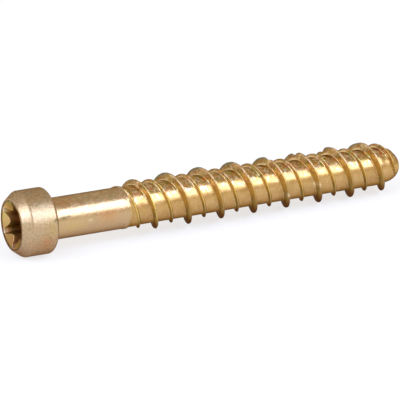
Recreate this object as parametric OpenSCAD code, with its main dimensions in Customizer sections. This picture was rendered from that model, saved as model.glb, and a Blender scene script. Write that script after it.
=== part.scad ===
// Concrete screw, made in one piece: a cylinder head with a six-lobe drive, a plain shank,
// and two threads on one core, a high one and a low one that runs midway between its turns.
// It lies at rest on z = 0, the way it comes to lie on a bench, with its head at -x.

/* [Overall] */
// Length from the face of the head to the end of the tip
length = 59.65; // [45:0.05:120]

/* [Head] */
// Diameter of the head
head_d = 9.3; // [8.8:0.1:12]
// Height of the head, from its face to its seat
head_h = 5.35; // [4.9:0.05:7]
// Diameter of the flat face
face_d = 7.2; // [7:0.1:7.8]
// Lean of the cone between the face and the side, in degrees from the screw's axis
front_lean = 37; // [30:1:50]
// Rounding between the face and the cone
face_round = 0.2; // [0.1:0.05:0.3]
// Rounding between the cone and the side
side_round = 0.8; // [0.3:0.1:1.2]
// Rounding of the edge round the seat, measured along the screw
seat_round = 0.7; // [0.2:0.05:0.9]
// The same rounding measured across the screw
seat_round_w = 1.05; // [0.2:0.05:1.15]

/* [Drive] */
// Size of the drive across opposite lobes
drive_d = 5.7; // [5:0.1:5.8]
// Size of the drive across the flutes between the lobes
flute_d = 3.95; // [3.7:0.05:4.1]
// Rounding at the end of each lobe
lobe_r = 0.46; // [0.35:0.01:0.5]
// Depth of the drive with its full section
drive_depth = 3.1; // [2:0.1:3.5]
// Width of the flat ring between the face's edge and the flared mouth of the drive
rim_w = 0.15; // [0.05:0.05:0.4]
// Depth of that flare
mouth_l = 0.6; // [0.3:0.05:0.8]
// Turn of the drive about the screw
drive_turn = 55; // [0:1:59]

/* [Shank] */
// Diameter of the plain shank
shank_d = 5.85; // [5.6:0.05:6.2]
// Length of the plain shank, from the seat to the foot of the bevel that ends it
shank_l = 11.65; // [6:0.05:30]
// Length of the bevel from the shank down to the core
bevel_l = 0.4; // [0.2:0.1:1]

/* [Threads] */
// Diameter of the core that carries the threads
core_d = 5.4; // [5:0.05:5.55]
// Diameter over the high thread
high_d = 7.5; // [7:0.1:8.5]
// Diameter over the low thread
low_d = 6.4; // [6.2:0.05:6.9]
// Distance each thread advances in one turn
lead = 5.1; // [4.2:0.1:8]
// Width of the high thread where it meets the core
high_root_w = 1; // [0.8:0.05:1.5]
// Width of the high thread along its crest
high_crest_w = 0.2; // [0.15:0.05:0.4]
// Width of the low thread where it meets the core
low_root_w = 0.75; // [0.6:0.05:1.1]
// Width of the low thread along its crest
low_crest_w = 0.12; // [0.1:0.02:0.3]
// Share of the flanks' width that lies on the side towards the tip
tip_flank = 0.68; // [0.5:0.01:0.75]
// How far along the screw a thread takes to rise to its full height
run_in = 4.4; // [3:0.1:6]
// How far along the screw a thread takes to sink away at the tip
run_out = 1.5; // [0.8:0.1:3]
// Turn of the threads about the screw
thread_turn = 38; // [0:1:359]

/* [Tip] */
// Length of the blunt tip beyond the straight core
tip_l = 3.65; // [2.8:0.05:6]
// Length of the dome at its end
dome_l = 2.3; // [1.6:0.05:2.6]
// Diameter of the tip where the dome starts
dome_d = 4.95; // [4.4:0.05:5]
// Diameter of the flat on the end of the dome
end_d = 1.55; // [1:0.05:2.5]
// Length of the tip that carries no thread
plain_l = 1.15; // [0.9:0.05:1.5]

/* [Hidden] */

head_r = head_d / 2;
face_r = face_d / 2;
shank_r = shank_d / 2;
mouth_r = face_r - rim_w;
core_r = core_d / 2;
dome_r = dome_d / 2;
end_r = end_d / 2;
shank_end = head_h + shank_l;
tip_start = length - tip_l;
dome_start = length - dome_l;

// Flats in each rounding of the turned outline and of the drive
round_steps = 8;
// Flats in each turn of a thread
turn_steps = 36;
// How far the cuts for the drive run past the face and into each other
overcut = 0.2;
// Depth to which a thread's root is buried in the core
thread_sink = 0.25;
// Places along the screw where each thread starts to rise and where both have sunk away
low_start = shank_end - 3.6;
high_start = shank_end - 1.4;
thread_end = length - plain_l;

// The head's cone touches both of its roundings, and its side is straight from side_start to side_end
cone_rise = (head_r - face_r - side_round + (side_round - face_round) * cos(front_lean)) / tan(front_lean);
side_start = face_round + cone_rise + (side_round - face_round) * sin(front_lean);
side_end = head_h - seat_round;

// How it lies: on the rear of the head's side and on the last full crest underneath
first_crest = shank_end + lead - lead * thread_turn / 360;
last_full = thread_end - run_out;
rest_crest = first_crest + lead * floor((last_full - first_crest) / lead);
rest_tilt = atan((head_r - high_d / 2) / (rest_crest - side_end));
rest_lift = head_r * cos(rest_tilt) + side_end * sin(rest_tilt);
rest_back = -face_r * sin(rest_tilt);
rest_front = length * cos(rest_tilt) + end_r * sin(rest_tilt);

// Points along an elliptical arc, as [radius, place along the screw]
function arc(centre, size, from, to) =
    [for (i = [0:round_steps]) let (a = from + (to - from) * i / round_steps)
        centre + [size.x * cos(a), size.y * sin(a)]];

// Soft step from 0 to 1
function ease(t) = let (c = min(max(t, 0), 1)) c * c * (3 - 2 * c);

// Radius of the core, which draws in a little at the tip and ends in a dome
function core_at(z) = z < dome_start
    ? core_r - (core_r - dome_r) * ease((z - tip_start) / (dome_start - tip_start))
    : end_r + (dome_r - end_r) * sqrt(max(1 - pow((z - dome_start) / dome_l, 2), 0));

function tip_outline() = concat(
    [for (i = [0:round_steps]) let (z = tip_start + (dome_start - tip_start) * i / round_steps) [core_at(z), z]],
    arc([end_r, dome_start], [dome_r - end_r, dome_l], 10, 90));

// Everything that is round about the screw's axis
function turned_outline() = concat(
    [[0, 0]],
    arc([face_r, face_round], [face_round, face_round], -90, -front_lean),
    arc([head_r - side_round, side_start], [side_round, side_round], -front_lean, 0),
    arc([head_r - seat_round_w, side_end], [seat_round_w, seat_round], 0, 90),
    [[shank_r, head_h], [shank_r, shank_end - bevel_l], [core_r, shank_end]],
    tip_outline(),
    [[0, length]]);

// Six lobes whose ends and flutes are arcs that touch
function drive_outline() = let (
    lobe_c = drive_d / 2 - lobe_r,
    flute_r = (pow(lobe_c, 2) + pow(flute_d / 2, 2) - lobe_c * flute_d * cos(30) - pow(lobe_r, 2))
        / (2 * (lobe_r - flute_d / 2 + lobe_c * cos(30))),
    flute_c = flute_d / 2 + flute_r,
    meet = atan2(flute_c * sin(30), flute_c * cos(30) - lobe_c))
    [for (k = [0:5], p = concat(
        [for (a = [-meet:meet / 4:meet]) [lobe_c, 0] + lobe_r * [cos(a), sin(a)]],
        [for (a = [180 + meet:(30 - meet) / 3:241 - meet])
            flute_c * [cos(30), sin(30)] + flute_r * [cos(a), sin(a)]]))
        [p.x * cos(60 * k) - p.y * sin(60 * k), p.x * sin(60 * k) + p.y * cos(60 * k)]];

// Cut for the bit: the flared mouth, the six lobes and the cone at their floor
module drive_recess() {
    flute_r = flute_d / 2;
    flare = (mouth_r - flute_r) / mouth_l;
    translate([0, 0, -overcut])
        cylinder(h = mouth_l + 2 * overcut, r1 = mouth_r + flare * overcut, r2 = flute_r - flare * overcut);
    rotate(drive_turn) translate([0, 0, -overcut])
        linear_extrude(drive_depth + overcut) polygon(drive_outline());
    translate([0, 0, drive_depth - 0.01])
        cylinder(h = flute_d / 6, r1 = flute_r - 0.1, r2 = 0.1);
}

// One right-hand thread that rises from the core, runs along it and sinks back into the tip.
// Its straight flanks run on to a buried root, and its section narrows as it gets lower.
module thread(d, root_w, crest_w, from, turn) {
    height = d / 2 - core_r;
    flanks_w = (root_w - crest_w) * (height + thread_sink) / height;
    steps = ceil((thread_end - from) / lead * turn_steps);
    // Corners of the section: shares of the height, of the crest's width and of the flanks' width
    section = [[0, -0.5, tip_flank - 1], [1, -0.5, 0], [1, 0.5, 0], [0, 0.5, tip_flank]];
    sides = len(section);
    points = [for (i = [0:steps]) let (
        z = from + (thread_end - from) * i / steps,
        a = turn + 360 * (z - shank_end) / lead,
        full = ease((z - from) / run_in) * ease((thread_end - z) / run_out))
        for (p = section) let (
            y = p.y * crest_w + p.z * flanks_w * full,
            root = core_at(z + y) - thread_sink,
            r = root + (d / 2 - root) * max(full, 0.03) * p.x)
            [r * cos(a), r * sin(a), z + y]];
    sweep = [for (i = [0:steps - 1], j = [0:sides - 1])
        let (a = i * sides + j, b = i * sides + (j + 1) % sides)
        each [[a, b, b + sides], [a, b + sides, a + sides]]];
    ends = [[for (j = [sides - 1:-1:0]) j], [for (j = [0:sides - 1]) steps * sides + j]];
    polyhedron(points, concat(sweep, ends), convexity = 20);
}

module concrete_screw() {
    color("goldenrod")
        translate([-(rest_back + rest_front) / 2, 0, rest_lift])
            rotate([0, 90 + rest_tilt, 0]) {
                difference() {
                    rotate_extrude($fn = 96) polygon(turned_outline());
                    drive_recess($fn = 96);
                }
                thread(high_d, high_root_w, high_crest_w, high_start, thread_turn);
                thread(low_d, low_root_w, low_crest_w, low_start, thread_turn + 180);
            }
}

concrete_screw();
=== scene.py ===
"""Looks of the concrete screw: a finer mesh of its one piece, its yellow zinc plating and a plain studio."""

import math

import bpy
import numpy as np
from mathutils import Matrix, Vector


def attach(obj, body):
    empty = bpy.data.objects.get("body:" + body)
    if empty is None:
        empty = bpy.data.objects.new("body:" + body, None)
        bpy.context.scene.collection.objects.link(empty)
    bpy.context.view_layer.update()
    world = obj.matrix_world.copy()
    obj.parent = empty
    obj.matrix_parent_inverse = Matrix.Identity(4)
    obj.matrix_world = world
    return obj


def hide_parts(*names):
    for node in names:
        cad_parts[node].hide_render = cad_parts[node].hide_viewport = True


MM = 0.001

# Sizes of the screw in millimetres, as in the CAD model. Places along it are measured from its face.
LENGTH = 59.65
HEAD_R, HEAD_H, FACE_R = 4.65, 5.35, 3.6
FRONT_LEAN = math.radians(37)
FACE_ROUND, SIDE_ROUND, SEAT_ROUND, SEAT_ROUND_W = 0.2, 0.8, 0.7, 1.05
LOBE_TIP_R, FLUTE_TIP_R, LOBE_ROUND = 2.85, 1.975, 0.46
DRIVE_DEPTH, MOUTH_R = 3.1, 3.45
DRIVE_TURN = math.radians(55)
SHANK_R, SHANK_L, BEVEL_L = 2.925, 11.65, 0.4
CORE_R, HIGH_R, LOW_R = 2.7, 3.75, 3.2
LEAD = 5.1
RUN_OUT = 1.5
THREAD_TURN = math.radians(38)
TIP_L, DOME_L, PLAIN_L = 3.65, 2.3, 1.15
DOME_R, END_R = 2.475, 0.775

SHANK_END = HEAD_H + SHANK_L
SIDE_END = HEAD_H - SEAT_ROUND
TIP_START, DOME_START = LENGTH - TIP_L, LENGTH - DOME_L
LOW_START, HIGH_START, THREAD_END = SHANK_END - 3.6, SHANK_END - 1.4, LENGTH - PLAIN_L

# Angles about the screw's axis of the side that is up in the photograph, and of the worn side of the tip
UPPER_SIDE, WORN_SIDE = math.radians(156), math.radians(231)

# Drive: depth of the flare round its mouth, how far each lobe flares at the lip, and the cone in its floor
MOUTH_L, LOBE_FLARE = 0.72, 0.38
FLOOR_R, FLOOR_CONE_L = FLUTE_TIP_R - 0.1, 0.66

# Seat: fillet between it and the shank. The side stays a hair inside the facets of the CAD model.
SEAT_FILLET, SIDE_INSET = 0.15, 0.006

# Shank: the collar that rolling raised at its end. It starts before the end, runs a little past it and meets
# the threads in a small rounding.
COLLAR_RISE, COLLAR_LEAD, COLLAR_RAMP_L, COLLAR_OVERRUN = 0.065, 0.85, 0.25, 0.2
THREAD_MEETS_SHANK_ROUND = 0.03

# Core: extra radius that fades along the first turns, and the shoulder right beside the shank
CORE_SWELL, CORE_SWELL_L = 0.05, 23
SHOULDER_RISE, SHOULDER_START, SHOULDER_L = 0.09, SHANK_END + 1.2, 0.8
# How far the first turns are rolled off centre, towards the upper side, and where that grows and fades
OFF_CENTRE, OFF_CENTRE_GROWTH_L, OFF_CENTRE_FADE, OFF_CENTRE_FADE_L = 0.11, 2, 34, 10

# Threads: lengths over which each rises and sinks, and where the low one ends
HIGH_RUN_IN, HIGH_RUN_OUT = 3.2, 2.2
LOW_RUN_IN, LOW_RUN_OUT, LOW_END = 4.4, 1.8, THREAD_END + 0.8
# Share of its height that the high thread has in its first turns, and where it grows to the whole
EARLY_SHARE, EARLY_END, EARLY_GROWTH_L = 0.79, 18, 7
# Unevenness of the threads' height, as a share of it, and its two waves in radians per millimetre
WAVINESS, SLOW_WAVE, QUICK_WAVE = 0.012, 9.1, 23.7
# How far the last turns lie nearer the head than an even lead would put them
DRIFT, DRIFT_START, DRIFT_L = 0.27, THREAD_END - 8, 5.5
# Half widths of each thread at its crest, towards the head and the tip, the same where its flanks would meet
# the core, and its roundings at the crest and the foot as shares of its height
HIGH_SHAPE = (0.06, 0.21, 0.33, 0.50, 0.18, 0.30)
LOW_SHAPE = (0.03, 0.08, 0.25, 0.27, 0.20, 0.30)
# Nicks in the high thread's crest: place along the screw, half length along it and share of the height lost
NICKS = (
    (30.2, 0.2, 0.05),
    (39.37, 0.11, 0.24),
    (44.2, 0.11, 0.38),
    (49.05, 0.11, 0.40),
    (54.35, 0.22, 0.11),
)

# Wear of the tip: how deep its flat and how high its fullness are, how far off the worn side in radians, and
# their half lengths along the screw
WEAR_AT, WEAR_HALF_TURN = 59.2, 0.6
FLAT_DEPTH, FLAT_OFF, FLAT_HALF_L = 0.3, -0.45, 0.3
FULL_RISE, FULL_OFF, FULL_HALF_L = 0.14, 0.55, 0.35

# Marks by kind, as ((place along the screw, angle in degrees), (half size along it, half size round it)):
# dark scuffs, spots rubbed bare, and patches of the film on the head and the shank
MARKS = {
    "scuff": (
        ((4.7, 250), (0.4, 0.2)),
        ((6.6, 249), (0.5, 0.22)),
        ((7.4, 247), (0.3, 0.15)),
        ((20.4, 266), (0.25, 0.12)),
        ((37.2, 222), (0.2, 0.15)),
    ),
    "bare": (((10.6, 267), (0.25, 0.1)), ((40.9, 281), (0.3, 0.3)), ((45.6, 269), (0.35, 0.35))),
    "reddish": (((3.3, 291), (0.8, 1.3)), ((7.2, 205), (1.6, 0.7)), ((13.4, 262), (1.6, 1.0))),
    "golden": (((4.1, 265), (0.7, 1.2)), ((8.0, 280), (1.8, 0.9))),
}

# Mesh: points in each sixth of the drive's outline, rows across each stretch of one lead, how far the close
# rows reach past each thread's foot, and the stretch whose rows run along the helix
POINTS_PER_LOBE = 24
HIGH_ROWS, LOW_ROWS, CORE_ROWS = 26, 17, 6
HEAD_MARGIN, TIP_MARGIN = 0.1, 0.16
HELIX_FROM, HELIX_TO = LOW_START - 0.3, LENGTH - 0.5

# Plating: stops of the gold film, and the other colours that drift over it, kept mostly to the upper side as
# painted reflections, each as the scale of its noise, the noise at which it starts and is full, its share and
# its colour
GOLD_FILM = ((0.3, (0.50, 0.31, 0.115)), (0.52, (0.575, 0.36, 0.127)), (0.72, (0.64, 0.42, 0.18)))
DRIFTS_AND_PAINTED_REFLECTIONS = (
    (700, 0.51, 0.59, 0.75, (0.72, 0.37, 0.22)),
    (1050, 0.53, 0.60, 0.8, (0.44, 0.38, 0.09)),
    (1400, 0.55, 0.62, 0.8, (0.70, 0.30, 0.06)),
    (1800, 0.53, 0.60, 0.8, (0.90, 0.72, 0.46)),
)
# Threads: their flanks with painted light at the side and painted shade on top, the painted shade of their
# rear side, and the painted highlights and shade of their crests, with a painted dark edge and painted light
# at the foot to the rear
RIDGE_SIDE_PAINTED_LIT, RIDGE_TOP_PAINTED_SHADE, REAR_PAINTED_SHADE = (0.98, 0.72, 0.18), (0.70, 0.50, 0.15), (0.62, 0.55, 0.56)
CREST_PAINTED_HIGHLIGHT, CREST_PAINTED_SHADE = (0.80, 0.60, 0.40), (0.62, 0.52, 0.50)
REAR_EDGE_PAINTED_SHADE, REAR_FOOT_PAINTED_LIGHT = (0.24, 0.21, 0.12), (0.98, 0.76, 0.40)
# Head and shank, the satin of the head with its amber, and their patches
PLAIN, SATIN, SATIN_AMBER = (0.60, 0.45, 0.28), (0.64, 0.485, 0.30), (0.66, 0.40, 0.17)
PATCHES = {"reddish": (0.62, 0.32, 0.14), "golden": (0.64, 0.45, 0.18)}
# Drive: stops of its film near the mouth and of its painted shade deep inside, and the painted highlights on
# the lips of its lobes
DRIVE_FILM = ((0.4, (0.68, 0.42, 0.18)), (0.6, (0.60, 0.45, 0.15)))
DEEP_PAINTED_SHADE = ((0.4, (0.50, 0.25, 0.08)), (0.6, (0.38, 0.29, 0.08)))
DRIVE_LIP_PAINTED_HIGHLIGHT = (0.98, 0.86, 0.62)
SCUFFED, BARE = (0.20, 0.15, 0.07), (1.0, 0.80, 0.46)
# Painted shade on the side the screw lies on, on the core and on the threads, and the tint of every edge-on
# surface
UNDER_PAINTED_SHADE, UNDER_RIDGE_PAINTED_SHADE = (0.77, 0.68, 0.72), (0.28, 0.20, 0.31)
EDGE_ON_TINT = (0.30, 0.26, 0.24)
# Roughness of the core's smooth and dull patches, of the threads and of the head
SMOOTH, DULL, RIDGE_ROUGH, SATIN_ROUGH = 0.23, 0.34, 0.42, 0.40
# Bumps: scale of the noise, height in metres and how it is drawn out along the screw. The last is the grain.
BUMPS = ((620, 2.4e-5, (0.5, 1, 1)), (2300, 9e-6, None), (5400, 2.4e-5, None))

# Studio: radiances, on a scale where the floor is 1, and where the boxes stand as seen from the screw
WORLD_COLOUR = (1.0, 0.89, 0.76)
HORIZON, ZENITH = 0.86, 0.58
BOX_COLOUR, BOX_DISTANCE = (0.84, 1.0, 1.42), 0.6
KEY_FROM, KEY_W, KEY_H, KEY_RADIANCE = (0.413, -0.645, 0.64), 0.46, 0.38, 3.5
SIDE_FROM, SIDE_W, SIDE_H, SIDE_RADIANCE = (-0.72, -0.26, 0.64), 0.40, 0.34, 4.2
FLOOR_HALF, FLOOR_OWN_WHITE = 3.0, 0.7

# The photograph's view: where the camera looks from, and the point of the screw's axis that it aims at
CAMERA_AZIMUTH, CAMERA_ELEVATION = math.radians(-26.374), math.radians(21.696)
CAMERA_DISTANCE = 0.73809
CAMERA_LENS, SENSOR_WIDTH = 476.92, 36
AIM_ALONG, AIM_RIGHT, AIM_UP = 29.4595, -0.578, -0.835


def resting_place():
    """Matrix from the screw's own frame, in millimetres from its face along +z, to how it lies, in metres."""
    first_crest = SHANK_END + LEAD - LEAD * THREAD_TURN / math.tau
    crest = first_crest + LEAD * math.floor((THREAD_END - RUN_OUT - first_crest) / LEAD)
    tilt = math.atan((HEAD_R - HIGH_R) / (crest - SIDE_END))
    lift = HEAD_R * math.cos(tilt) + SIDE_END * math.sin(tilt)
    back = -FACE_R * math.sin(tilt)
    front = LENGTH * math.cos(tilt) + END_R * math.sin(tilt)
    place = Matrix.Translation((-(back + front) / 2, 0, lift))
    return Matrix.Scale(MM, 4) @ place @ Matrix.Rotation(math.pi / 2 + tilt, 4, "Y")


PLACE = resting_place()


# ---- Curves and outlines

def ease(t):
    """Soft step from 0 to 1."""
    t = np.clip(t, 0, 1)
    return t * t * (3 - 2 * t)


def step(value, start, length):
    """Soft step from 0, where the value passes the start, to 1 a length further on."""
    return ease((value - start) / length)


def bell(t):
    """Share from 1 at 0 to next to nothing at 2 and beyond."""
    return np.exp(-(t**2))


def soft_max(a, b, k):
    """The larger of a and b, with the corner between them rounded over k."""
    d = np.clip((a - b) / k, -1, 1)
    return np.maximum(a, b) + k * (1 - np.abs(d)) ** 2 / 4


def arc(centre_r, centre_z, size_r, size_z, start, end, count):
    """Points (radius, place along the screw) along an elliptical arc, with its angles in degrees."""
    a = np.linspace(math.radians(start), math.radians(end), count)
    return [(centre_r + size_r * math.cos(t), centre_z + size_z * math.sin(t)) for t in a]


def drive_outline():
    """Angles and radii of the drive's outline, at even steps along it."""
    lobe_c = LOBE_TIP_R - LOBE_ROUND
    cos30 = math.cos(math.pi / 6)
    flute_r = (lobe_c**2 + FLUTE_TIP_R**2 - 2 * lobe_c * FLUTE_TIP_R * cos30 - LOBE_ROUND**2) / (
        2 * (LOBE_ROUND - FLUTE_TIP_R + lobe_c * cos30)
    )
    flute_c = FLUTE_TIP_R + flute_r
    meet = math.atan2(flute_c / 2, flute_c * cos30 - lobe_c)
    meet_at = math.atan2(LOBE_ROUND * math.sin(meet), lobe_c + LOBE_ROUND * math.cos(meet))
    # One sixth, from the middle of a lobe to the middle of the next
    a = np.linspace(0, math.pi / 3, 2001)
    off = np.minimum(a, math.pi / 3 - a)
    lobe = lobe_c * np.cos(off) + np.sqrt(np.maximum(LOBE_ROUND**2 - (lobe_c * np.sin(off)) ** 2, 0))
    side = off - math.pi / 6
    flute = flute_c * np.cos(side) - np.sqrt(np.maximum(flute_r**2 - (flute_c * np.sin(side)) ** 2, 0))
    r = np.where(off < meet_at, lobe, flute)
    run = np.concatenate([[0], np.cumsum(np.hypot(np.diff(r), r[1:] * np.diff(a)))])
    at = np.linspace(0, run[-1], POINTS_PER_LOBE, endpoint=False)
    angle = np.interp(at, run, a)
    radius = np.interp(at, run, r)
    angles = np.concatenate([angle + k * math.pi / 3 for k in range(6)]) + DRIVE_TURN
    return angles, np.tile(radius, 6)


def recess_rings(outline):
    """Rings (radii, depths) from the recess's centre out to its mouth. The lobes flare to the lip."""
    slope = MOUTH_L / (MOUTH_R - FLUTE_TIP_R)
    one = np.ones_like(outline)
    flare = LOBE_FLARE * ((outline - FLUTE_TIP_R) / (LOBE_TIP_R - FLUTE_TIP_R)) ** 0.6
    lip_r = outline + flare
    lip = (MOUTH_R - lip_r) * slope
    # The cone in the floor, and the corner between the floor and the walls
    rings = []
    for t in (0.03, 0.15, 0.4, 0.7, 1.0):
        rings.append((one * FLOOR_R * t, one * (DRIVE_DEPTH + FLOOR_CONE_L * (1 - t))))
    rings += [(outline - 0.1, one * (DRIVE_DEPTH - 0.002)), (outline - 0.03, one * (DRIVE_DEPTH - 0.02))]
    # The walls, which end a little below the lip
    wall_low = DRIVE_DEPTH - 0.1
    for t in np.linspace(0, 1, 12):
        rings.append((outline + flare * t**3, wall_low - (wall_low - lip - 0.12) * t))
    # The rounding of the lip, and the flared mouth beyond it
    for wide, down in ((0.008, 0.05), (0.03, 0.0), (0.07, -0.01)):
        r = np.minimum(lip_r + wide, MOUTH_R - 0.02)
        rings.append((r, np.maximum(lip + down - wide * slope, 0.01)))
    for t in (0.35, 0.7, 0.93):
        r = (lip_r + 0.07) * (1 - t) + MOUTH_R * t
        rings.append((np.minimum(r, MOUTH_R - 0.01), np.maximum((MOUTH_R - r) * slope, 0.006)))
    # The edge between the mouth and the face
    rings += [(one * (MOUTH_R + 0.03), one * 0.0015), (one * (MOUTH_R + 0.1), one * 0)]
    return rings


def head_outline():
    """(radius, place) of the turned outline from the face to where the helical rows start."""
    between_rounds = SIDE_ROUND - FACE_ROUND
    cone_rise = HEAD_R - FACE_R - SIDE_ROUND + between_rounds * math.cos(FRONT_LEAN)
    side_start = FACE_ROUND + cone_rise / math.tan(FRONT_LEAN) + between_rounds * math.sin(FRONT_LEAN)
    lean = math.degrees(FRONT_LEAN)
    inner = [(r, 0.0) for r in (FACE_R - 0.3, FACE_R - 0.15)]
    face = arc(FACE_R, FACE_ROUND, FACE_ROUND, FACE_ROUND, -90, -lean, 8)
    front = arc(HEAD_R - SIDE_ROUND, side_start, SIDE_ROUND, SIDE_ROUND, -lean, 0, 12)
    cone = [tuple(v) for v in np.linspace(face[-1], front[0], 10)[1:-1]]
    side = [(HEAD_R, z) for z in np.linspace(side_start, SIDE_END, 22)[1:-1]]
    rear = arc(HEAD_R - SEAT_ROUND_W, SIDE_END, SEAT_ROUND_W, SEAT_ROUND, 0, 90, 14)
    fillet = arc(SHANK_R + SEAT_FILLET, HEAD_H + SEAT_FILLET, -SEAT_FILLET, -SEAT_FILLET, 90, 0, 6)
    shank = [(SHANK_R, z) for z in np.linspace(HEAD_H + 2 * SEAT_FILLET, HELIX_FROM, 40)[:-1]]
    turned = inner + face + cone + front + side + rear + fillet + shank
    return [(min(r, HEAD_R - SIDE_INSET), z) for r, z in turned]


# ---- Threaded stretch, as radii at places z and angles

def body_radius(z):
    """Radius of the core and blunt tip, without threads. The core is a little thicker near the shank."""
    swell = CORE_SWELL * (1 - step(z, SHANK_END, CORE_SWELL_L))
    core = CORE_R + swell + SHOULDER_RISE * (1 - step(z, SHOULDER_START, SHOULDER_L))
    tip = core - (CORE_R - DOME_R) * step(z, TIP_START, DOME_START - TIP_START)
    dome = END_R + (DOME_R - END_R) * np.sqrt(np.maximum(1 - ((z - DOME_START) / DOME_L) ** 2, 0))
    return np.where(z < DOME_START, tip, dome)


def tip_wear(z, angle):
    """The tip's end is not quite round: it is flatter on its upper front, and fuller below."""
    side = (angle - WORN_SIDE + math.pi) % math.tau - math.pi
    flat = FLAT_DEPTH * bell((z - WEAR_AT) / FLAT_HALF_L) * bell((side - FLAT_OFF) / WEAR_HALF_TURN)
    full = FULL_RISE * bell((z - WEAR_AT) / FULL_HALF_L) * bell((side - FULL_OFF) / WEAR_HALF_TURN)
    return full - flat


def rolled_off_centre(z, angle):
    """The first turns are rolled a little off centre, so that they stand higher on the upper side."""
    along = step(z, SHANK_END, OFF_CENTRE_GROWTH_L) * (1 - step(z, OFF_CENTRE_FADE, OFF_CENTRE_FADE_L))
    return OFF_CENTRE * along * np.maximum(np.cos(angle - UPPER_SIDE), 0)


def drift(z):
    """How far the threads' last turns lie nearer the head than their even lead would put them."""
    return DRIFT * step(z, DRIFT_START, DRIFT_L)


def ridge(off, full, crest_head_w, crest_tip_w, head_w, tip_w, crest_round, foot_round):
    """Share of a thread's height at a distance off its crest. A lower thread is narrower."""
    narrowing = np.maximum(full, 0.15)
    crest_w = np.where(off < 0, crest_head_w, crest_tip_w) * narrowing
    flank_w = np.where(off < 0, head_w - crest_head_w, tip_w - crest_tip_w) * narrowing
    rise = 1 - (np.abs(off) - crest_w) / flank_w
    under = soft_max(rise, 0 * rise, foot_round)
    under = np.where(rise < -foot_round, 0, under)
    over = 1 - under
    capped = 1 - soft_max(over, 0 * over, crest_round)
    return np.where(over > crest_round, under, capped)


def thread_height(z, angle, top, turn, start, run_in, end, run_out, shape):
    """Height of one thread above the core, with its run-in, its run-out, its nicks and its waviness."""
    even = z + drift(z)
    first = SHANK_END + LEAD * (angle - turn) / math.tau
    crest = first + LEAD * np.round((even - first) / LEAD)
    full = step(crest, start, run_in) * (1 - step(crest, end - run_out, run_out))
    if top == HIGH_R:
        full = full * (EARLY_SHARE + (1 - EARLY_SHARE) * step(crest, EARLY_END, EARLY_GROWTH_L))
        for at, half, lost in NICKS:
            full = full * (1 - lost * bell((crest - at) / half))
    full = full * (1 - WAVINESS * (1 + np.sin(crest * SLOW_WAVE) * np.sin(crest * QUICK_WAVE + 1)))
    return (top - body_radius(z)) * full * ridge(even - crest, full, *shape)


def screw_radius(z, angle):
    """Radius of the threaded stretch and the tip, with the bevel and the collar that end the shank."""
    core = body_radius(z) + tip_wear(z, angle) + rolled_off_centre(z, angle)
    high = thread_height(
        z, angle, HIGH_R, THREAD_TURN, HIGH_START, HIGH_RUN_IN, THREAD_END, HIGH_RUN_OUT, HIGH_SHAPE
    )
    low = thread_height(
        z, angle, LOW_R, THREAD_TURN + math.pi, LOW_START, LOW_RUN_IN, LOW_END, LOW_RUN_OUT, LOW_SHAPE
    )
    threaded = core + np.maximum(high, low)
    collar_end = SHANK_END + COLLAR_OVERRUN
    bevel = np.clip((collar_end - z) / BEVEL_L, 0, 1)
    collar = COLLAR_RISE * step(z, SHANK_END - COLLAR_LEAD, COLLAR_RAMP_L)
    shank = CORE_R + (SHANK_R + collar - CORE_R) * bevel
    return np.where(z < collar_end, soft_max(threaded, shank, THREAD_MEETS_SHANK_ROUND), threaded)


# ---- Mesh

def row_offsets():
    """Places of one lead's rows from the high thread's crest, close together across each thread."""
    low_at = LEAD / 2
    (high_head, high_tip), (low_head, low_tip) = HIGH_SHAPE[2:4], LOW_SHAPE[2:4]

    def across(head_w, tip_w, count):
        t = np.linspace(-1, 1, count + 1)
        return np.where(t < 0, head_w + HEAD_MARGIN, tip_w + TIP_MARGIN) * np.sign(t) * np.abs(t) ** 1.3

    def between(start, end):
        return np.linspace(start + TIP_MARGIN, end - HEAD_MARGIN, CORE_ROWS + 1)[1:-1]

    return np.concatenate([
        across(high_head, high_tip, HIGH_ROWS),
        between(high_tip, low_at - low_head),
        low_at + across(low_head, low_tip, LOW_ROWS),
        between(low_at + low_tip, LEAD - high_head),
    ])


def add_ring(points, radius, angles, z):
    """Add a ring of points and return their numbers."""
    start = len(points)
    z = np.broadcast_to(z, angles.shape)
    points.extend(zip(radius * np.cos(angles), radius * np.sin(angles), z))
    return list(range(start, start + len(angles)))


def add_face(faces, ids):
    """Add a face, without the corners that fall together."""
    kept = [v for i, v in enumerate(ids) if v != ids[i - 1]]
    if len(set(kept)) > 2:
        faces.append(kept)


def join_rings(faces, a, b):
    count = len(a)
    for j in range(count):
        add_face(faces, (a[j], a[(j + 1) % count], b[(j + 1) % count], b[j]))


def threaded_rows(points, faces, angles, start_ring):
    """The threaded stretch. Its rows run along the helix, so each turn ends where the next one starts."""
    offsets = row_offsets()
    per_turn, count = len(offsets), len(angles)
    crest = SHANK_END + LEAD * (angles - THREAD_TURN) / math.tau
    first_turn = math.floor((HELIX_FROM - crest.max()) / LEAD) - 1
    last_turn = math.ceil((HELIX_TO - crest.min()) / LEAD) + 1
    turns = range(first_turn, last_turn + 1)
    z = np.array([crest + turn * LEAD + off for turn in turns for off in offsets])
    z = z - drift(z)
    # Rows that would start or end outside the stretch fall on its first or last ring
    near = 1e-4
    end_ring = add_ring(points, screw_radius(np.full(count, HELIX_TO), angles), angles, HELIX_TO)
    ids = np.where(z <= HELIX_FROM + near, np.array(start_ring), np.array(end_ring))
    rows, columns = np.nonzero((z > HELIX_FROM + near) & (z < HELIX_TO - near))
    place, angle = z[rows, columns], angles[columns]
    radius = screw_radius(place, angle)
    ids[rows, columns] = np.arange(len(rows)) + len(points)
    points.extend(zip(radius * np.cos(angle), radius * np.sin(angle), place))
    last = len(z) - 1
    for k in range(last):
        for j in range(count):
            if j + 1 < count:
                right, right_next = ids[k, j + 1], ids[k + 1, j + 1]
            else:
                right = ids[min(k + per_turn, last), 0]
                right_next = ids[min(k + per_turn + 1, last), 0]
            add_face(faces, (ids[k, j], right, right_next, ids[k + 1, j]))
    return end_ring


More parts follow.
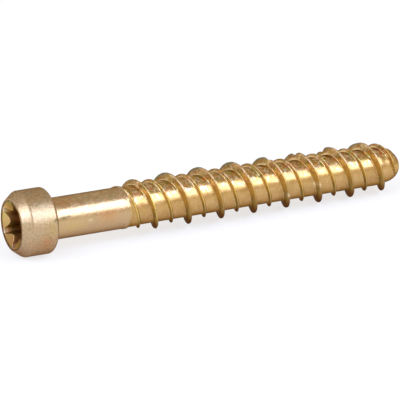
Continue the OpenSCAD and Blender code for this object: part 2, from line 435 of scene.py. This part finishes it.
def screw_mesh():
    """Points and faces of the whole screw: recess, head, shank, threaded stretch and tip."""
    angles, outline = drive_outline()
    points, faces = [], []
    rings = [add_ring(points, r, angles, z) for r, z in recess_rings(outline)]
    rings += [add_ring(points, r, angles, z) for r, z in head_outline()]
    rings.append(add_ring(points, SHANK_R, angles, HELIX_FROM))
    centre = len(points)
    points.append((0, 0, DRIVE_DEPTH + FLOOR_CONE_L))
    join_rings(faces, [centre] * len(angles), rings[0])
    for a, b in zip(rings, rings[1:]):
        join_rings(faces, a, b)
    ring = threaded_rows(points, faces, angles, rings[-1])
    tip_z = LENGTH - (LENGTH - HELIX_TO) * (1 - np.linspace(0, 1, 13)[1:]) ** 2
    tip = [(screw_radius(np.full(len(angles), z), angles), z) for z in tip_z]
    tip += [(END_R * 0.97 * share, LENGTH) for share in (0.8, 0.4, 0.05)]
    for radius, z in tip:
        next_ring = add_ring(points, radius, angles, z)
        join_rings(faces, ring, next_ring)
        ring = next_ring
    points.append((0, 0, LENGTH))
    join_rings(faces, ring, [len(points) - 1] * len(angles))
    return np.array(points, dtype=float), [[int(v) for v in reversed(f)] for f in faces]


def mark(z, angle, radius, at, half):
    """Share of a mark at a place (z, angle in degrees), with its half sizes along and round the screw."""
    off = (angle - math.radians(at[1]) + math.pi) % math.tau - math.pi
    return bell((z - at[0]) / half[0]) * bell(off * radius / half[1])


def masks(points):
    """Where each part of the plating shows, as a share from 0 to 1 at each point of the mesh."""
    x, y, z = points.T
    radius, angle = np.hypot(x, y) + 1e-6, np.arctan2(y, x)
    upright = -np.cos(angle)
    threaded = step(z, SHANK_END - 0.6, 0.6)
    above = (radius - body_radius(z)) * threaded
    share = above / (HIGH_R - body_radius(z))
    off_lobe = (angle - DRIVE_TURN + math.pi / 6) % (math.pi / 3) - math.pi / 6
    lobe = bell(off_lobe / 0.11) * step(radius, LOBE_TIP_R, 0.1)
    recess = 1.0 * (radius < MOUTH_R) * (z < DRIVE_DEPTH + FLOOR_CONE_L + 0.04)
    # Painted shade: the recess is as dark near its upper lip as it is deep inside
    recess_shade = step(z + 0.9 * step(upright, 0.3, 0.5), 0.25, 1.5)
    found = {
        "upper": step(upright, 0.4, 0.45),
        "rear": step(y / radius, -0.1, 0.5),
        "lower": 1 - step(upright, -0.85, 1.1),
        "satin": 1 - step(z, HEAD_H - 0.35, 0.3),
        "recess": recess,
        "recess_shade": recess_shade * recess,
        "lip": lobe * bell((z - 0.2) / 0.2) * (radius < MOUTH_R),
        "threaded": threaded,
        "ridge": step(above, 0.04, 0.12),
        "crest": step(share, 0.8, 0.15),
        "edge": step(share, 0.62, 0.3),
        "foot": bell((share - 0.1) / 0.14) * (above > 0.01),
    }
    for kind, marks in MARKS.items():
        found[kind] = np.minimum(sum(mark(z, angle, radius, *m) for m in marks), 1)
    return found


def make_screw():
    """The screw in place, with the masks of its plating as attributes of its mesh."""
    points, faces = screw_mesh()
    mesh = bpy.data.meshes.new("screw")
    mesh.from_pydata(points.tolist(), [], faces)
    mesh.transform(PLACE)
    mesh.polygons.foreach_set("use_smooth", [True] * len(mesh.polygons))
    mesh.set_sharp_from_angle(angle=math.radians(50))
    mesh.update()
    for name, value in masks(points).items():
        mesh.attributes.new(name, "FLOAT", "POINT").data.foreach_set("value", value)
    screw = bpy.data.objects.new("plated_screw", mesh)
    bpy.context.scene.collection.objects.link(screw)
    return screw


# ---- Node helpers. Each adds a node and returns the socket with its result.

def fill(tree, socket, value):
    """Set a socket to a number or a colour, or link it to another socket."""
    if isinstance(value, (int, float)):
        socket.default_value = value
    elif isinstance(value, tuple):
        socket.default_value = (*value, 1)
    else:
        tree.links.new(value, socket)


def math_node(tree, operation, a, b):
    made = tree.nodes.new("ShaderNodeMath")
    made.operation = operation
    for value, socket in zip((a, b), made.inputs):
        fill(tree, socket, value)
    return made.outputs[0]


def times(tree, a, b):
    return math_node(tree, "MULTIPLY", a, b)


def mix(tree, share, a, b, kind="MIX"):
    made = tree.nodes.new("ShaderNodeMix")
    made.data_type = "RGBA"
    made.blend_type = kind
    for value, socket in ((share, made.inputs[0]), (a, made.inputs[6]), (b, made.inputs[7])):
        fill(tree, socket, value)
    return made.outputs[2]


def tint(tree, film, colour):
    return mix(tree, 1.0, film, colour, "MULTIPLY")


def ramp(tree, value, stops):
    """Colour ramp over a value, from (position, colour) stops. A single number stands for a grey."""
    made = tree.nodes.new("ShaderNodeValToRGB")
    elements = made.color_ramp.elements
    while len(elements) < len(stops):
        elements.new(0.5)
    for element, (position, colour) in zip(elements, stops):
        element.position = position
        element.color = (*colour, 1) if isinstance(colour, tuple) else (colour, colour, colour, 1)
    tree.links.new(value, made.inputs["Fac"])
    return made.outputs["Color"]


def noise(tree, where, scale, detail=2.0, roughness=0.5, stretch=None):
    """Noise in the screw's own coordinates, if wished drawn out along or round it."""
    if stretch:
        mapping = tree.nodes.new("ShaderNodeMapping")
        mapping.inputs["Scale"].default_value = stretch
        tree.links.new(where, mapping.inputs["Vector"])
        where = mapping.outputs["Vector"]
    made = tree.nodes.new("ShaderNodeTexNoise")
    for name, value in (("Scale", scale), ("Detail", detail), ("Roughness", roughness)):
        made.inputs[name].default_value = value
    tree.links.new(where, made.inputs["Vector"])
    return made.outputs["Fac"]


def mask(tree, name):
    made = tree.nodes.new("ShaderNodeAttribute")
    made.attribute_name = name
    return made.outputs["Fac"]


def material_with_nodes(name):
    """A new material, with its tree and its Principled shader."""
    material = bpy.data.materials.new(name)
    material.use_nodes = True
    return material, material.node_tree, material.node_tree.nodes["Principled BSDF"]


# ---- Plating. Each step takes the colour of the film so far and returns the next.

def film_with_drifts_and_painted_reflections(tree, where, up):
    """Gold, with pink, olive, amber and pale drifts of the film, kept mostly to the upper side as painted
    reflections.
    """
    film = ramp(tree, noise(tree, where, 500, 3, 0.6), GOLD_FILM)
    for scale, start, end, share, colour in DRIFTS_AND_PAINTED_REFLECTIONS:
        patch = ramp(tree, noise(tree, where, scale, 2, 0.55), [(start, 0.0), (end, share)])
        # painted reflections: each drift shows mostly on the upper side
        film = mix(tree, times(tree, patch, up), film, colour)
    return film


def thread_film(tree, where, film, up, rear):
    """The threads are a deeper gold, with painted light on their flanks at the side and painted shade on top
    and to the rear. The upper side gets painted shade in specks.
    """
    own_share = mix(tree, up, (0.7, 0.7, 0.7), (0.3, 0.3, 0.3))
    # painted light on the flanks at the side, painted shade on their tops
    flank = mix(tree, own_share, film, mix(tree, up, RIDGE_SIDE_PAINTED_LIT, RIDGE_TOP_PAINTED_SHADE))
    # painted shade on the flanks of the rear side
    flank = mix(tree, rear, flank, tint(tree, flank, REAR_PAINTED_SHADE))
    film = mix(tree, times(tree, mask(tree, "ridge"), 0.9), film, flank)
    # painted shade: darker specks on the upper side only
    painted_shade_specks = ramp(tree, noise(tree, where, 2600, 2, 0.6), [(0.34, 0.62), (0.52, 1.0)])
    return mix(tree, up, film, tint(tree, film, painted_shade_specks))


def head_and_shank_film(tree, where, film, satin):
    """The head and the shank are paler than the threads, and the head is satin and speckled."""
    film = mix(tree, mask(tree, "threaded"), mix(tree, 0.6, film, PLAIN), film)
    film = mix(tree, times(tree, satin, 0.5), film, SATIN)
    amber = ramp(tree, noise(tree, where, 330, 2, 0.5), [(0.50, 0.0), (0.60, 0.3)])
    film = mix(tree, times(tree, satin, amber), film, SATIN_AMBER)
    for kind, colour in PATCHES.items():
        film = mix(tree, times(tree, mask(tree, kind), 0.7), film, colour)
    grain = ramp(tree, noise(tree, where, 5200, 2, 0.7), [(0.38, 0.60), (0.58, 1.0)])
    return mix(tree, times(tree, satin, 0.8), film, tint(tree, film, grain))


def crest_film(tree, where, film, up, rear):
    """Crests get painted highlights on the upper side and painted shade elsewhere. To the rear they get a
    painted dark edge and painted light at the foot."""
    # painted highlights: pale spots on the crests of the upper side
    crest_glints = ramp(tree, noise(tree, where, 1500, 2, 0.6), [(0.42, 0.15), (0.6, 0.85)])
    film = mix(tree, times(tree, mask(tree, "crest"), times(tree, crest_glints, up)), film, CREST_PAINTED_HIGHLIGHT)
    # painted shade: crests darker and browner away from the upper side
    shaded_crest = mix(tree, up, tint(tree, film, CREST_PAINTED_SHADE), film)
    film = mix(tree, mask(tree, "crest"), film, shaded_crest)
    # painted shade: a dark edge along the crests of the rear side, standing for a dark reflection
    film = mix(tree, times(tree, mask(tree, "edge"), rear), film, REAR_EDGE_PAINTED_SHADE)
    # painted light: a pale band at the foot of the rear flanks
    return mix(tree, times(tree, mask(tree, "foot"), rear), film, REAR_FOOT_PAINTED_LIGHT)


def drive_film(tree, where, film):
    """The drive is amber, with painted shade deep inside and near its upper lip, and painted highlights on
    the lips of its lobes.
    """
    mouth = ramp(tree, noise(tree, where, 1400), DRIVE_FILM)
    shaded_depths = ramp(tree, noise(tree, where, 700), DEEP_PAINTED_SHADE)
    # painted shade deep in the recess and under its upper lip
    film = mix(tree, mask(tree, "recess"), film, mix(tree, mask(tree, "recess_shade"), mouth, shaded_depths))
    # painted highlights on the lips of the lobes
    return mix(tree, mask(tree, "lip"), film, DRIVE_LIP_PAINTED_HIGHLIGHT)


def underside_painted_shade(tree, film):
    """Painted shade: the film is darker and browner along the side the screw lies on, above all on the
    threads.
    """
    under_shade = mix(tree, mask(tree, "ridge"), UNDER_PAINTED_SHADE, UNDER_RIDGE_PAINTED_SHADE)
    return mix(tree, mask(tree, "lower"), film, tint(tree, film, under_shade))


def plating_bump(tree, where, satin):
    """Three sizes of unevenness. The finest is a grain that is strong on the head and faint elsewhere."""
    bump = None
    for scale, height, stretch in BUMPS:
        made = tree.nodes.new("ShaderNodeBump")
        made.inputs["Strength"].default_value = 1.0
        made.inputs["Distance"].default_value = height
        tree.links.new(noise(tree, where, scale, 2, 0.55, stretch), made.inputs["Height"])
        if bump:
            tree.links.new(bump.outputs["Normal"], made.inputs["Normal"])
        bump = made
    tree.links.new(ramp(tree, satin, [(0.0, 0.08), (1.0, 1.0)]), bump.inputs["Strength"])
    return bump.outputs["Normal"]


def plating():
    """Yellow passivated zinc: a gold film with drifts of other colours, satin and speckled on the head, with
    painted reflections, highlights, light and shade on its threads, crests, drive and underside.
    """
    material, tree, shader = material_with_nodes("yellow_passivated_zinc")
    shader.inputs["Metallic"].default_value = 1
    shader.inputs["Specular Tint"].default_value = (*EDGE_ON_TINT, 1)
    where = tree.nodes.new("ShaderNodeTexCoord").outputs["Object"]
    up = ramp(tree, mask(tree, "upper"), [(0.0, 0.12), (1.0, 1.0)])
    rear, satin = mask(tree, "rear"), mask(tree, "satin")

    film = film_with_drifts_and_painted_reflections(tree, where, up)
    film = thread_film(tree, where, film, up, rear)
    film = head_and_shank_film(tree, where, film, satin)
    film = crest_film(tree, where, film, up, rear)
    film = drive_film(tree, where, film)
    film = mix(tree, mask(tree, "scuff"), film, SCUFFED)
    film = mix(tree, mask(tree, "bare"), film, BARE)
    # painted shade along the side the screw lies on
    film = underside_painted_shade(tree, film)
    tree.links.new(film, shader.inputs["Base Color"])

    rough = ramp(tree, noise(tree, where, 1100, 2), [(0.35, SMOOTH), (0.65, DULL)])
    rough = mix(tree, mask(tree, "ridge"), rough, (RIDGE_ROUGH,) * 3)
    rough = mix(tree, satin, rough, (SATIN_ROUGH,) * 3)
    tree.links.new(rough, shader.inputs["Roughness"])
    tree.links.new(plating_bump(tree, where, satin), shader.inputs["Normal"])
    return material


# ---- Studio

def white_floor():
    """White that keeps a soft shadow. What the camera and the metal see of it is partly its own white."""
    material, tree, shader = material_with_nodes("white_floor")
    shader.inputs["Roughness"].default_value = 1.0
    shader.inputs["Specular IOR Level"].default_value = 0.0
    where = tree.nodes.new("ShaderNodeTexCoord").outputs["Object"]
    white = ramp(tree, noise(tree, where, 60), [(0.0, 0.99), (1.0, 1.0)])
    tree.links.new(white, shader.inputs["Base Color"])
    own = tree.nodes.new("ShaderNodeEmission")
    own.inputs["Color"].default_value = (1, 1, 1, 1)
    own.inputs["Strength"].default_value = 1.0
    ray = tree.nodes.new("ShaderNodeLightPath")
    seen = math_node(tree, "MAXIMUM", ray.outputs["Is Camera Ray"], ray.outputs["Is Glossy Ray"])
    seen = math_node(tree, "MAXIMUM", seen, ray.outputs["Is Transmission Ray"])
    blend = tree.nodes.new("ShaderNodeMixShader")
    tree.links.new(times(tree, seen, FLOOR_OWN_WHITE), blend.inputs["Fac"])
    tree.links.new(shader.outputs[0], blend.inputs[1])
    tree.links.new(own.outputs[0], blend.inputs[2])
    tree.links.new(blend.outputs[0], tree.nodes["Material Output"].inputs["Surface"])
    return material


def make_floor():
    corners = [(x * FLOOR_HALF, y * FLOOR_HALF, 0) for x, y in ((-1, -1), (1, -1), (1, 1), (-1, 1))]
    mesh = bpy.data.meshes.new("floor")
    mesh.from_pydata(corners, [], [(0, 1, 2, 3)])
    mesh.materials.append(white_floor())
    floor = bpy.data.objects.new("floor", mesh)
    bpy.context.scene.collection.objects.link(floor)


def area_light(name, direction, width, height, radiance):
    """A soft box that faces the screw, with its width level."""
    light = bpy.data.lights.new(name, "AREA")
    light.shape = "RECTANGLE"
    light.size, light.size_y = width, height
    light.energy = radiance * math.pi * width * height
    light.color = BOX_COLOUR
    lamp = bpy.data.objects.new(name, light)
    bpy.context.scene.collection.objects.link(lamp)
    direction = Vector(direction).normalized()
    lamp.location = direction * BOX_DISTANCE
    lamp.rotation_mode = "QUATERNION"
    lamp.rotation_quaternion = direction.to_track_quat("Z", "Y")


def make_studio():
    """A warm world that is brightest near the horizon, and two cool soft boxes."""
    world = bpy.data.worlds.new("studio")
    bpy.context.scene.world = world
    world.use_nodes = True
    tree = world.node_tree
    split = tree.nodes.new("ShaderNodeSeparateXYZ")
    tree.links.new(tree.nodes.new("ShaderNodeTexCoord").outputs["Generated"], split.inputs[0])
    bright, dim = [tuple(v * level for v in WORLD_COLOUR) for level in (HORIZON, ZENITH)]
    sky = ramp(tree, split.outputs["Z"], [(0.0, bright), (0.15, bright), (0.8, dim)])
    tree.links.new(sky, tree.nodes["Background"].inputs["Color"])
    area_light("key_box", KEY_FROM, KEY_W, KEY_H, KEY_RADIANCE)
    area_light("side_box", SIDE_FROM, SIDE_W, SIDE_H, SIDE_RADIANCE)


def make_camera():
    """The photograph's camera. Its aim lies off the axis by a few tenths of a millimetre in the view."""
    a, e = CAMERA_AZIMUTH, CAMERA_ELEVATION
    right = Vector((math.cos(a), math.sin(a), 0))
    back = Vector((math.sin(a) * math.cos(e), -math.cos(a) * math.cos(e), math.sin(e)))
    up = back.cross(right)
    aim = PLACE @ Vector((0, 0, AIM_ALONG)) + (right * AIM_RIGHT + up * AIM_UP) * MM
    camera = bpy.data.objects.new("camera", bpy.data.cameras.new("camera"))
    bpy.context.scene.collection.objects.link(camera)
    camera.data.sensor_width = SENSOR_WIDTH
    camera.data.lens = CAMERA_LENS
    camera.data.clip_start = 0.01
    turned = Matrix((right, up, back)).transposed().to_4x4()
    camera.matrix_world = Matrix.Translation(aim + back * CAMERA_DISTANCE) @ turned
    bpy.context.scene.camera = camera


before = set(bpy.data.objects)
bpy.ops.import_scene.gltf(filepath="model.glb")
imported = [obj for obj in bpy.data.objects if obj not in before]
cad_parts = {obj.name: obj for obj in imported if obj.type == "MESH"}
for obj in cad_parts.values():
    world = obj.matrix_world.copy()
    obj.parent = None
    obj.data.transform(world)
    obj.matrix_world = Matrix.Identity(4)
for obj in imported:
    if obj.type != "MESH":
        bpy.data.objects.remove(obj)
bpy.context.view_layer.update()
make_camera()
screw = make_screw()
screw.data.materials.append(plating())
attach(screw, "root")
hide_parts("concrete_screw")
make_floor()
make_studio()
bpy.context.scene.view_settings.view_transform = "Standard"
